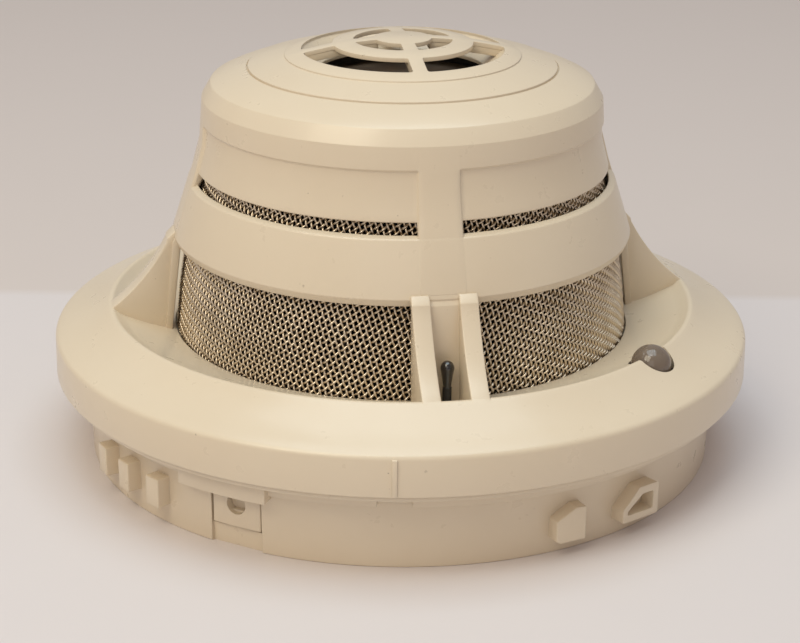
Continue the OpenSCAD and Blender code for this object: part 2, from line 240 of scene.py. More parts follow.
def plate(outlines: Sequence[Sequence[Place]], thickness: float) -> bmesh.types.BMesh:
    """Makes a flat plate from an outline and the holes in it, from height 0 downwards.

    Args:
        outlines: The outer outline first, then each hole.
        thickness: The plate's thickness.

    Returns:
        The plate as a closed mesh.
    """
    bm = bmesh.new()
    edges = []
    for outline in outlines:
        edges += closed_loop(bm, [Vector((x, y, 0)) for x, y in outline])
    if len(outlines) == 1:
        faces = bmesh.ops.contextual_create(bm, geom=edges)["faces"]
    else:
        made = bmesh.ops.triangle_fill(bm, use_beauty=True, use_dissolve=False, edges=edges)
        faces = [g for g in made["geom"] if isinstance(g, bmesh.types.BMFace)]
    moved = bmesh.ops.extrude_face_region(bm, geom=faces, use_keep_orig=True)["geom"]
    lower = [g for g in moved if isinstance(g, bmesh.types.BMVert)]
    bmesh.ops.translate(bm, verts=lower, vec=(0, 0, -thickness))
    return tidy(bm)


def box(low: Sequence[float], high: Sequence[float]) -> bmesh.types.BMesh:
    """Makes a block between two corners.

    Args:
        low: The lowest corner.
        high: The highest corner.

    Returns:
        The block.
    """
    bm = bmesh.new()
    bmesh.ops.create_cube(bm, size=1)
    size = Vector(high) - Vector(low)
    bmesh.ops.scale(bm, verts=bm.verts, vec=size)
    bmesh.ops.translate(bm, verts=bm.verts, vec=(Vector(low) + Vector(high)) / 2)
    return bm


def drum(radius: float, low: float, high: float, segments: int = 64) -> bmesh.types.BMesh:
    """Makes an upright cylinder about the vertical axis.

    Args:
        radius: The cylinder's radius.
        low: The height of its lower face.
        high: The height of its upper face.
        segments: Sides of the cylinder.

    Returns:
        The cylinder.
    """
    bm = bmesh.new()
    bmesh.ops.create_cone(
        bm, cap_ends=True, segments=segments, radius1=radius, radius2=radius, depth=high - low
    )
    bmesh.ops.translate(bm, verts=bm.verts, vec=(0, 0, (low + high) / 2))
    return bm


def placed(bm: bmesh.types.BMesh, matrix: Matrix) -> bmesh.types.BMesh:
    """Moves a whole mesh by a matrix and returns it."""
    bmesh.ops.transform(bm, matrix=matrix, verts=bm.verts)
    return bm


def around(degrees: float, radius: float = 0, height: float = 0) -> Matrix:
    """Gives the matrix of a place at a radius and a direction, turned so that +X points outwards."""
    return Matrix.Rotation(math.radians(degrees), 4, "Z") @ Matrix.Translation((radius, 0, height))


def lying() -> Matrix:
    """Gives the turn that lays an upright shape along +X."""
    return Matrix.Rotation(math.pi / 2, 4, "Y")


def softened(
    bm: bmesh.types.BMesh, width: float, segments: int = 3, over_degrees: float = 40
) -> bmesh.types.BMesh:
    """Rounds every edge sharper than an angle.

    Args:
        bm: The mesh to work on.
        width: The width of the rounding.
        segments: Segments across the rounding.
        over_degrees: The angle between two faces above which their edge is rounded.

    Returns:
        The same mesh.
    """
    limit = math.radians(over_degrees)
    edges = [e for e in bm.edges if e.is_manifold and e.calc_face_angle(0) > limit]
    bmesh.ops.bevel(
        bm, geom=edges, offset=width, segments=segments, profile=0.5, affect="EDGES",
        material=-1, clamp_overlap=True,
    )
    return bm


def joined(parts: Iterable[bmesh.types.BMesh]) -> bmesh.types.BMesh:
    """Puts several meshes into one and frees them.

    Args:
        parts: The meshes to put together.

    Returns:
        One mesh that holds them all.
    """
    whole = bmesh.new()
    for part in parts:
        carrier = bpy.data.meshes.new("carrier")
        part.to_mesh(carrier)
        whole.from_mesh(carrier)
        bpy.data.meshes.remove(carrier)
        part.free()
    return whole


def carved(bm: bmesh.types.BMesh, cutters: Sequence[bmesh.types.BMesh]) -> bmesh.types.BMesh:
    """Takes the cutters' space out of a mesh.

    Args:
        bm: The mesh to cut. It is freed.
        cutters: The shapes to take out. They are freed.

    Returns:
        What is left.
    """
    holders = []
    for i, part in enumerate([bm, *cutters]):
        mesh = bpy.data.meshes.new(f"carving_{i}")
        part.to_mesh(mesh)
        part.free()
        holder = bpy.data.objects.new(mesh.name, mesh)
        bpy.context.scene.collection.objects.link(holder)
        holders.append(holder)
    body, *tools = holders
    for tool in tools:
        cut = body.modifiers.new(tool.name, "BOOLEAN")
        cut.operation = "DIFFERENCE"
        cut.solver = "EXACT"
        cut.object = tool
    evaluated = body.evaluated_get(bpy.context.evaluated_depsgraph_get())
    left = bmesh.new()
    left.from_mesh(evaluated.to_mesh())
    evaluated.to_mesh_clear()
    for holder in holders:
        mesh = holder.data
        bpy.data.objects.remove(holder)
        bpy.data.meshes.remove(mesh)
    return left


def swept_wires(
    lines: Iterable[Sequence[Vector]], radius: float, resolution: int, capped: bool = False
) -> bpy.types.Mesh:
    """Sweeps a round wire along each of several centre lines.

    Args:
        lines: The centre lines, in metres.
        radius: The wire's radius, in metres.
        resolution: How finely the wire's section is rounded.
        capped: Whether the ends of the wires are closed.

    Returns:
        One mesh that holds all the wires.
    """
    curve = bpy.data.curves.new("wires", "CURVE")
    curve.dimensions = "3D"
    curve.bevel_depth = radius
    curve.bevel_resolution = resolution
    curve.use_fill_caps = capped
    for points in lines:
        spline = curve.splines.new("POLY")
        spline.points.add(len(points) - 1)
        spline.points.foreach_set("co", [c for p in points for c in (*p, 1)])
    holder = bpy.data.objects.new("wires", curve)
    mesh = bpy.data.meshes.new_from_object(holder)
    bpy.data.objects.remove(holder)
    bpy.data.curves.remove(curve)
    return mesh


def finish_mesh(mesh: bpy.types.Mesh, smooth_degrees: float) -> None:
    """Shades a mesh smooth, apart from edges sharper than an angle.

    Args:
        mesh: The mesh to shade.
        smooth_degrees: The angle above which an edge stays sharp.
    """
    bm = bmesh.new()
    bm.from_mesh(mesh)
    limit = math.radians(smooth_degrees)
    for face in bm.faces:
        face.smooth = True
    for edge in bm.edges:
        edge.smooth = not (edge.is_manifold and edge.calc_face_angle(0) > limit)
    bm.to_mesh(mesh)
    bm.free()


@dataclass
class Piece:
    """A finished mesh piece, ready to be dressed and to ride on a body."""

    name: str
    body: Body
    slot: str
    stands_for: tuple[str, ...] = ()
    smooth_degrees: float = 38

    def make(self, bm: bmesh.types.BMesh, material: bpy.types.Material) -> bpy.types.Object:
        """Turns a mesh in millimetres into a piece in metres.

        Args:
            bm: The mesh. It is freed.
            material: The finish of the piece.

        Returns:
            The piece's object.
        """
        bmesh.ops.scale(bm, verts=bm.verts, vec=(MM, MM, MM))
        mesh = bpy.data.meshes.new(self.name)
        bm.to_mesh(mesh)
        bm.free()
        return self.adopt(mesh, material)

    def adopt(self, mesh: bpy.types.Mesh, material: bpy.types.Material) -> bpy.types.Object:
        """Makes an object of a mesh in metres, dresses it and lets it ride on its body.

        Args:
            mesh: The mesh, in its place.
            material: The finish of the piece.

        Returns:
            The piece's object.
        """
        finish_mesh(mesh, self.smooth_degrees)
        thing = bpy.data.objects.new(self.name, mesh)
        bpy.context.scene.collection.objects.link(thing)
        thing.data.materials.append(material)
        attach(thing, self.body.value)
        if self.stands_for:
            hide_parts(*self.stands_for)
        LOG.info("%s: %d faces on %s", self.name, len(mesh.polygons), self.body.value)
        return thing


# ---------------------------------------------------------------- finishes


class Recipe:
    """A node tree that is built up one node at a time."""

    def __init__(self, name: str) -> None:
        """Starts a material with a Principled surface.

        Args:
            name: The material's name.
        """
        self.material = bpy.data.materials.new(name)
        self.material.use_nodes = True
        self.tree = self.material.node_tree
        self.surface = self.tree.nodes["Principled BSDF"]

    def add(self, kind: str, **values: object) -> bpy.types.Node:
        """Adds a node.

        Args:
            kind: The node's type name.
            **values: Its attributes, or the values of its inputs, with spaces written as underscores.

        Returns:
            The new node.
        """
        node = self.tree.nodes.new(kind)
        for key, value in values.items():
            label = key.replace("_", " ")
            if label in node.inputs:
                node.inputs[label].default_value = value
            else:
                setattr(node, key, value)
        return node

    def join(self, source: bpy.types.NodeSocket, target: bpy.types.NodeSocket) -> None:
        """Links an output to an input."""
        self.tree.links.new(source, target)

    def place(self) -> bpy.types.NodeSocket:
        """Gives the Object coordinates."""
        return self.add("ShaderNodeTexCoord").outputs["Object"]

    def noise(self, scale: float, detail: float = 3, roughness: float = 0.5) -> bpy.types.NodeSocket:
        """Adds a noise pattern on the Object coordinates.

        Args:
            scale: Features per metre.
            detail: Octaves of detail.
            roughness: How strong the fine octaves are.

        Returns:
            The pattern's value.
        """
        node = self.add("ShaderNodeTexNoise", Scale=scale, Detail=detail, Roughness=roughness)
        self.join(self.place(), node.inputs["Vector"])
        return node.outputs["Fac"]

    def ramp(
        self, value: bpy.types.NodeSocket, stops: Sequence[tuple[float, Sequence[float]]]
    ) -> bpy.types.NodeSocket:
        """Maps a value to a colour.

        Args:
            value: The value to map.
            stops: Positions and their colours.

        Returns:
            The colour.
        """
        node = self.add("ShaderNodeValToRGB")
        ladder = node.color_ramp
        for i, (position, colour) in enumerate(stops):
            stop = ladder.elements[i] if i < 2 else ladder.elements.new(position)
            stop.position = position
            stop.color = (*colour, 1)
        self.join(value, node.inputs["Fac"])
        return node.outputs["Color"]

    def spread(self, value: bpy.types.NodeSocket, low: float, high: float) -> bpy.types.NodeSocket:
        """Spreads a value from 0 to 1 over a new range.

        Args:
            value: The value.
            low: What 0 becomes.
            high: What 1 becomes.

        Returns:
            The new value.
        """
        node = self.add("ShaderNodeMapRange", To_Min=low, To_Max=high)
        self.join(value, node.inputs["Value"])
        return node.outputs["Result"]

    def mix(
        self, factor: bpy.types.NodeSocket, a: bpy.types.NodeSocket | Sequence[float],
        b: bpy.types.NodeSocket | Sequence[float],
    ) -> bpy.types.NodeSocket:
        """Mixes two colours.

        Args:
            factor: How much of the second colour shows.
            a: The first colour.
            b: The second colour.

        Returns:
            The mixed colour.
        """
        node = self.add("ShaderNodeMix", data_type="RGBA")
        self.join(factor, node.inputs["Factor"])
        for colour, name in ((a, "A"), (b, "B")):
            socket = next(s for s in node.inputs if s.name == name and s.type == "RGBA")
            if isinstance(colour, bpy.types.NodeSocket):
                self.join(colour, socket)
            else:
                socket.default_value = (*colour, 1)
        return next(s for s in node.outputs if s.type == "RGBA")

    def bump(
        self, height: bpy.types.NodeSocket, distance: float, strength: float = 1.0,
        normal: bpy.types.NodeSocket | None = None,
    ) -> None:
        """Turns a height into a normal and gives it to the surface.

        Args:
            height: The height pattern, from 0 to 1.
            distance: How high it stands, in metres.
            strength: How much of it shows.
            normal: The normal to start from.
        """
        node = self.add("ShaderNodeBump", Distance=distance, Strength=strength)
        self.join(height, node.inputs["Height"])
        if normal is not None:
            self.join(normal, node.inputs["Normal"])
        self.join(node.outputs["Normal"], self.surface.inputs["Normal"])

    def set(self, **values: object) -> None:
        """Sets plain values on the Principled surface, with spaces in a name written as underscores."""
        for key, value in values.items():
            self.surface.inputs[key.replace("_", " ")].default_value = value


@dataclass(frozen=True)
class MouldedIvory:
    """Glossy ivory housing plastic with a faint grain, uneven ageing and specks of dust."""

    name: str = "moulded_ivory"
    base: tuple[float, float, float] = (0.76, 0.66, 0.51)
    aged: tuple[float, float, float] = (0.72, 0.61, 0.455)
    speck: tuple[float, float, float] = (0.30, 0.24, 0.17)
    edge_radius: float = 0.15

    def build(self) -> bpy.types.Material:
        """Makes the material.

        Returns:
            The material.
        """
        recipe = Recipe(self.name)
        tone = recipe.spread(recipe.noise(42, 4, 0.6), -0.2, 1.2)
        ground = recipe.mix(tone, self.base, self.aged)
        dust = recipe.ramp(recipe.noise(900, 2, 0.5), [(0.75, (0, 0, 0)), (0.80, (1, 1, 1))])
        patch = recipe.ramp(recipe.noise(75, 2, 0.5), [(0.50, (0, 0, 0)), (0.66, (1, 1, 1))])
        both = recipe.add("ShaderNodeMath", operation="MULTIPLY")
        recipe.join(dust, both.inputs[0])
        recipe.join(patch, both.inputs[1])
        recipe.join(recipe.mix(both.outputs[0], ground, self.speck), recipe.surface.inputs["Base Color"])
        recipe.join(recipe.spread(recipe.noise(260, 4, 0.6), 0.22, 0.38), recipe.surface.inputs["Roughness"])
        edge = recipe.add("ShaderNodeBevel", samples=4, Radius=self.edge_radius * MM)
        recipe.bump(recipe.noise(5200, 2), 0.012 * MM, 0.5, edge.outputs["Normal"])
        recipe.set(IOR=1.5, Coat_Weight=0.12, Coat_Roughness=0.1)
        return recipe.material


@dataclass(frozen=True)
class BrightWire:
    """Bright drawn wire of the insect screen, a little tarnished."""

    name: str = "bright_wire"
    bright: tuple[float, float, float] = (0.82, 0.72, 0.58)
    dull: tuple[float, float, float] = (0.52, 0.43, 0.31)

    def build(self) -> bpy.types.Material:
        """Makes the material.

        Returns:
            The material.
        """
        recipe = Recipe(self.name)
        tone = recipe.spread(recipe.noise(220, 4, 0.6), -0.3, 1.1)
        recipe.join(recipe.mix(tone, self.bright, self.dull), recipe.surface.inputs["Base Color"])
        recipe.join(recipe.spread(recipe.noise(1500, 2), 0.22, 0.42), recipe.surface.inputs["Roughness"])
        recipe.bump(recipe.noise(9000, 2), 0.006 * MM, 0.4)
        recipe.set(Metallic=1.0)
        return recipe.material


@dataclass(frozen=True)
class Speckled:
    """A plain finish with a fine grain: two close tones, a roughness range and a grain height."""

    name: str
    first: tuple[float, float, float]
    second: tuple[float, float, float]
    smooth: float
    rough: float
    grain: float = 3000
    grain_height: float = 0.01
    metallic: float = 0.0
    coat: float = 0.0

    def build(self) -> bpy.types.Material:
        """Makes the material.

        Returns:
            The material.
        """
        recipe = Recipe(self.name)
        tone = recipe.spread(recipe.noise(180, 4, 0.6), -0.2, 1.2)
        recipe.join(recipe.mix(tone, self.first, self.second), recipe.surface.inputs["Base Color"])
        gloss = recipe.spread(recipe.noise(420, 3), self.smooth, self.rough)
        recipe.join(gloss, recipe.surface.inputs["Roughness"])
        recipe.bump(recipe.noise(self.grain, 2), self.grain_height * MM, 0.6)
        recipe.set(Metallic=self.metallic, Coat_Weight=self.coat)
        return recipe.material


@dataclass(frozen=True)
class SmokedLens:
    """Smoky translucent lens plastic with a faint random haze of a paler tint."""

    name: str = "smoked_lens"
    tint: tuple[float, float, float] = (0.36, 0.28, 0.215)

    def build(self) -> bpy.types.Material:
        """Makes the material.

        Returns:
            The material.
        """
        recipe = Recipe(self.name)
        haze = recipe.spread(recipe.noise(400, 3), 0.0, 1.0)
        paler = tuple(c * 1.15 for c in self.tint)
        recipe.join(recipe.mix(haze, self.tint, paler), recipe.surface.inputs["Base Color"])
        recipe.join(recipe.spread(recipe.noise(900, 2), 0.06, 0.14), recipe.surface.inputs["Roughness"])
        recipe.set(Transmission_Weight=0.55, IOR=1.5, Coat_Weight=0.3)
        return recipe.material


@dataclass(frozen=True)
class Laminate:
    """Green solder mask over copper tracks on glass laminate."""

    name: str = "laminate"
    mask: tuple[float, float, float] = (0.015, 0.11, 0.045)
    track: tuple[float, float, float] = (0.03, 0.21, 0.08)

    def build(self) -> bpy.types.Material:
        """Makes the material.

        Returns:
            The material.
        """
        recipe = Recipe(self.name)
        cells = recipe.add("ShaderNodeTexVoronoi", feature="DISTANCE_TO_EDGE", Scale=260)
        recipe.join(recipe.place(), cells.inputs["Vector"])
        lines = recipe.ramp(cells.outputs["Distance"], [(0.10, (1, 1, 1)), (0.14, (0, 0, 0))])
        recipe.join(recipe.mix(lines, self.mask, self.track), recipe.surface.inputs["Base Color"])
        recipe.join(recipe.spread(recipe.noise(500, 2), 0.25, 0.4), recipe.surface.inputs["Roughness"])
        recipe.bump(lines, 0.03 * MM, 0.6)
        recipe.set(Coat_Weight=0.3)
        return recipe.material


class Finishes:
    """All finishes of the detector, made once."""

    def __init__(self) -> None:
        """Builds every material."""
        self.ivory = MouldedIvory().build()
        self.wire = BrightWire().build()
        self.lens = SmokedLens().build()
        self.board = Laminate().build()
        self.black = Speckled("black_moulding", (0.012, 0.012, 0.013), (0.02, 0.019, 0.018),
                              0.45, 0.62).build()
        self.bead = Speckled("epoxy_bead", (0.006, 0.006, 0.007), (0.01, 0.009, 0.009), 0.05, 0.12,
                             grain=900, grain_height=0.004, coat=1.0).build()
        self.steel = Speckled("zinc_steel", (0.56, 0.56, 0.57), (0.44, 0.44, 0.45), 0.24, 0.4,
                              metallic=1.0).build()
        self.brass = Speckled("spring_brass", (0.78, 0.57, 0.27), (0.62, 0.43, 0.19), 0.22, 0.4,
                              metallic=1.0).build()
        self.diaphragm = Speckled("diaphragm_lacquer", (0.05, 0.038, 0.03), (0.17, 0.125, 0.09),
                                  0.25, 0.5).build()
        self.rubber = Speckled("foam_rubber", (0.012, 0.012, 0.012), (0.025, 0.025, 0.024), 0.8, 0.95,
                               grain=1800, grain_height=0.08).build()
        self.lead = Speckled("lead_sleeving", (0.36, 0.03, 0.025), (0.28, 0.02, 0.02), 0.35, 0.5).build()
        self.white = Speckled("white_resin", (0.80, 0.79, 0.75), (0.7, 0.69, 0.65), 0.25, 0.4).build()
        self.optic = Speckled("tinted_resin", (0.03, 0.025, 0.06), (0.05, 0.04, 0.08), 0.08, 0.2,
                              coat=0.5).build()


# ---------------------------------------------------------------- cover


@dataclass
class OuterCover:
    """The ivory cover: flange, recess, fins, band, dome with its straps, and the grille."""

    flange_r: float = 58.5
    flange_z: float = 14.1
    rim_r: float = 48.9
    rim_z: float = 25.45
    floor_z: float = 21.0
    band_r: float = 38.3
    band_low: float = 36.2
    band_top: float = 46.4
    panel_z: float = 48.2
    top_z: float = 69.1
    crown_r: float = 69.9
    rim_fall: float = 0.28
    opening_r: float = 16.6
    throat_r: float = 13.6
    ring_inner: float = 8.1
    ring_outer: float = 11.5
    hub_r: float = 4.7
    spoke_half: float = 1.15
    rib_half: float = 1.1
    rib_from: float = 4.2
    cap_r: float = 19.35
    strap_from: float = 5.3
    strap_to: float = 5.9
    fin_t: float = 4.0
    front_fin_t: float = 2.9
    front_fin_y: float = 3.7
    lens_at: tuple[float, float] = (48.8, -45.8)
    lens_gap_r: float = 3.6
    mark_deg: float = -100.5
    bead_at: tuple[float, float] = (41.6, -90.0)

    def flange(self) -> bmesh.types.BMesh:
        """Makes the flange with its crown and the sloping recess, the notch for the lens and the bead's hole.

        Returns:
            The flange as one ring.
        """
        crown_start, crown_end = (57.5, 21.05), (self.rim_r, self.rim_z)
        corners = [
            (56.7, self.flange_z, 0.2), (self.flange_r, self.flange_z, 0.25),
            (self.flange_r - 0.1, 20.6, 1.0),
            *bow(crown_start, crown_end, 0.4, 8),
            (self.rim_r, self.rim_z, 0.8),
            *sweep((47.6, 24.25), (43.5, 22.2), (39.0, self.floor_z + 0.15), 8),
            (38.35, self.floor_z, 0.1), (38.35, self.floor_z - 1.6, 0.1), (41.0, 19.4, 0.5),
            (49.4, 23.1, 0.5), (50.4, 22.7, 0.5), (55.6, 20.0, 0.5), (56.7, 18.6, 0.3),
        ]
        ring = turned(rounded(corners), 300)
        lens_r, lens_deg = self.lens_at
        bead_r, bead_deg = self.bead_at
        return carved(ring, [
            placed(drum(self.lens_gap_r, 16, 30, 96), around(lens_deg, lens_r)),
            placed(drum(1.15, 18, 23, 48), around(bead_deg, bead_r)),
        ])

    def band(self) -> bmesh.types.BMesh:
        """Makes the band between the two rows of air slots.

        Returns:
            The band as one ring.
        """
        return turned(rounded([
            (self.band_r - 1.6, self.band_low, 0.1), (self.band_r - 0.45, self.band_low, 0.12),
            (self.band_r, self.band_low + 1.15, 0.22), (35.5, 45.95, 0.5), (34.25, self.band_top, 0.15),
        ]), 300)

    def dome_section(self, share: float) -> list[Place]:
        """Gives the dome's section, from a strap to a panel.

        Args:
            share: 0 on a strap, 1 on a panel.

        Returns:
            The section's points, the same number for every share.
        """
        slot_top = self.panel_z
        strap = [(37.7, 37.9), (38.14, 37.9), (34.72, slot_top), (33.42, 53.0), (33.25, 55.7), (33.22, 56.0)]
        panel = [
            (33.1, slot_top), (34.3, slot_top), (33.95, 49.4), (33.02, 53.0), (32.83, 55.75), (33.18, 56.1)
        ]
        radii = [0.15, 0.22, 0.0, 0.0, 0.12, 0.16]
        side = [
            (a[0] + (b[0] - a[0]) * share, a[1] + (b[1] - a[1]) * share, radius)
            for a, b, radius in zip(strap, panel, radii)
        ]
        cap = [
            (32.92, 59.65, 0.25), (31.45, 62.1, 0.4), *bow((31.2, 62.25), (25.5, 64.35), -0.12, 6),
            (25.56, 64.34, 0.0), (25.5, 64.1, 0.0), (25.34, 64.1, 0.0), (25.3, 64.6, 0.08),
            (self.cap_r + 0.08, 66.12, 0.06),
            (self.cap_r - 0.5, 66.1, 0.0), (self.cap_r - 0.5, 64.9, 0.0), (25.4, 62.7, 0.0),
            (30.3, 60.9, 0.6), (31.4, 59.0, 0.0),
        ]
        return rounded(side + cap)

    def dome(self) -> bmesh.types.BMesh:
        """Makes the dome: a quarter is spun in stages, moved to its sections and repeated three times.

        Returns:
            The dome as one ring.
        """
        bm = bmesh.new()
        index = bm.verts.layers.int.new("section_point")
        edges = closed_loop(bm, [Vector((r, 0, z)) for r, z in self.dome_section(0)])
        for i, vert in enumerate(bm.verts):
            vert[index] = i
        front = list(bm.verts) + edges
        stages = [
            (self.strap_from, 4), (self.strap_to - self.strap_from, 4), (90 - 2 * self.strap_to, 70),
            (self.strap_to - self.strap_from, 4), (self.strap_from, 4),
        ]
        for degrees, steps in stages:
            front = bmesh.ops.spin(
                bm, geom=front, cent=(0, 0, 0), axis=(0, 0, 1), dvec=(0, 0, 0),
                angle=math.radians(degrees), steps=steps, use_merge=False, use_duplicate=False,
            )["geom_last"]
        for vert in bm.verts:
            direction = math.atan2(vert.co.y, vert.co.x)
            off = min(math.degrees(direction), 90 - math.degrees(direction))
            t = min(1.0, max(0.0, (off - self.strap_from) / (self.strap_to - self.strap_from)))
            radius, height = self.dome_section(t * t * (3 - 2 * t))[vert[index]]
            vert.co = (radius * math.cos(direction), radius * math.sin(direction), height)
        quarter = list(bm.verts) + list(bm.edges) + list(bm.faces)
        for k in (1, 2, 3):
            copy = bmesh.ops.duplicate(bm, geom=quarter)["geom"]
            verts = [g for g in copy if isinstance(g, bmesh.types.BMVert)]
            bmesh.ops.rotate(bm, verts=verts, cent=(0, 0, 0), matrix=Matrix.Rotation(k * math.pi / 2, 3, "Z"))
        return tidy(bm, 1e-3)

    def crown_height(self, radius: float) -> float:
        """Gives the height of the cap's outer surface.

        Args:
            radius: The distance from the axis.

        Returns:
            The height.
        """
        if radius > self.opening_r:
            edge = self.crown_height(self.opening_r)
            return edge - self.rim_fall * (radius - self.opening_r)
        return self.top_z - self.crown_r + math.sqrt(self.crown_r**2 - radius**2)

    def grille_hole(self, inner: float, outer: float, degrees: float) -> list[Place]:
        """Outlines one hole of the grille, between two rings and two spokes.

        Args:
            inner: The hole's inner radius.
            outer: The hole's outer radius.
            degrees: The direction of the hole's middle.

        Returns:
            The hole's outline.
        """
        steps = 14
        corners = []
        for radius, way in ((outer, 1), (inner, -1)):
            swing = 45 - math.degrees(math.asin(self.spoke_half / radius))
            for k in range(steps + 1):
                a = math.radians(degrees + way * swing * (2 * k / steps - 1))
                corner = 0.45 if k in (0, steps) else 0.0
                corners.append((radius * math.cos(a), radius * math.sin(a), corner))
        return rounded(corners, 3)

    def crowned(self, bm: bmesh.types.BMesh) -> bmesh.types.BMesh:
        """Bends a flat mesh to the cap's crown.

        Args:
            bm: The mesh, around height 0.

        Returns:
            The same mesh.
        """
        for vert in bm.verts:
            vert.co.z += self.crown_height(math.hypot(vert.co.x, vert.co.y))
        return bm

    def spoke(self, degrees: float) -> bmesh.types.BMesh:
        """Makes the deep rib under one spoke, from the hub to the opening's wall.

        Args:
            degrees: The spoke's direction.

        Returns:
            The rib in its place.
        """
        near, far, half = self.rib_from, self.opening_r + 0.5, self.rib_half
        bar = plate([[(near, -half), (far, -half), (far, half), (near, half)]], 1.8)
        for place in (7.0, 10.0, 13.0, 15.5):
            bmesh.ops.bisect_plane(
                bar, geom=list(bar.verts) + list(bar.edges) + list(bar.faces),
                plane_co=(place, 0, 0), plane_no=(1, 0, 0),
            )
        bmesh.ops.translate(bar, verts=bar.verts, vec=(0, 0, -0.12))
        return self.crowned(placed(softened(bar, 0.1, 2, 60), around(degrees)))

    def grille(self) -> list[bmesh.types.BMesh]:
        """Makes the cap with its eight holes, the funnel inside it and the ribs of the spokes.

        Returns:
            The cap, the funnel and four ribs.
        """
        rim_steps = 160
        turns = [k * math.tau / rim_steps for k in range(rim_steps)]
        rim = [(self.cap_r * math.cos(a), self.cap_r * math.sin(a)) for a in turns]
        holes = [
            self.grille_hole(inner, outer, 45 + 90 * k)
            for inner, outer in ((self.hub_r, self.ring_inner), (self.ring_outer, self.opening_r))
            for k in range(4)
        ]
        cap = self.crowned(softened(plate([rim, *holes], 0.7), 0.16, 3, 60))
        top = self.crown_height(self.opening_r)
        funnel = turned(rounded([
            (self.throat_r, top - 3.9, 0.1), (self.throat_r, top - 3.2, 0.35),
            (self.opening_r + 0.04, top - 0.4, 0.0), (self.cap_r - 0.3, top - 1.1, 0.0),
            (self.cap_r - 0.3, top - 2.0, 0.0), (17.2, top - 2.1, 0.3),
        ]), rim_steps)
        return [cap, funnel, *[self.spoke(90 * k) for k in range(4)]]

    def fin(self, thickness: float) -> bmesh.types.BMesh:
        """Makes one upright gusset along +X.

        Args:
            thickness: The gusset's thickness.

        Returns:
            The gusset, centred on the XZ plane.
        """
        slope = sweep((39.6, 36.2), (43.3, 29.4), (self.rim_r + 0.2, 25.15), 8)
        outline = rounded([
            (39.3, 20.4, 0.0), (38.4, 36.5, 0.0), (37.5, 37.4, 0.0), (38.15, 38.15, 0.2),
            (39.4, 36.9, 0.35), *slope, (49.5, 24.7, 0.0), (48.3, 23.8, 0.0), (46.0, 22.6, 0.0),
        ])
        blade = softened(plate([outline], thickness), 0.28, 3, 50)
        upright = Matrix.Rotation(math.pi / 2, 4, "X")
        return placed(blade, Matrix.Translation((0, -thickness / 2, 0)) @ upright)

    def post(self, width: float) -> bmesh.types.BMesh:
        """Makes the upright strip that stands beside the screen.

        Args:
            width: The strip's width.

        Returns:
            The strip, centred on +X.
        """
        half = math.degrees(math.asin(width / 2 / 39))
        outline = rounded([
            (39.2, 20.7, 0.0), (37.2, 36.5, 0.0), (37.2, 37.6, 0.0), (38.1, 37.3, 0.2),
            (38.6, 36.4, 0.3), (40.3, 20.7, 0.0),
        ])
        return softened(turned_sector(outline, -half, half, 10), 0.18, 2, 60)

    def fins(self) -> list[bmesh.types.BMesh]:
        """Makes all fins and posts.

        Returns:
            The fins and posts in their places.
        """
        parts = []
        for degrees in (0, 90, 180):
            parts.append(placed(self.fin(self.fin_t), around(degrees)))
            parts.append(placed(self.post(self.fin_t + 0.8), around(degrees)))
        for side in (-1, 1):
            shifted = Matrix.Translation((0, side * self.front_fin_y, 0))
            parts.append(placed(self.fin(self.front_fin_t), around(270) @ shifted))
        parts.append(placed(self.post(2 * self.front_fin_y), around(270)))
        return parts

    def build(self, finishes: Finishes) -> None:
        """Makes the whole cover as one piece.

        Args:
            finishes: The detector's finishes.
        """
        mark = softened(box((57.9, -0.4, 14.3), (58.75, 0.4, 20.2)), 0.12, 2)
        shell = joined([
            self.flange(), self.band(), self.dome(), *self.grille(), *self.fins(),
            placed(mark, around(self.mark_deg)),
        ])
        piece = Piece("outer_cover_moulding", Body.COVER, "ivory_plastic", ("outer_cover",))
        piece.make(shell, finishes.ivory)


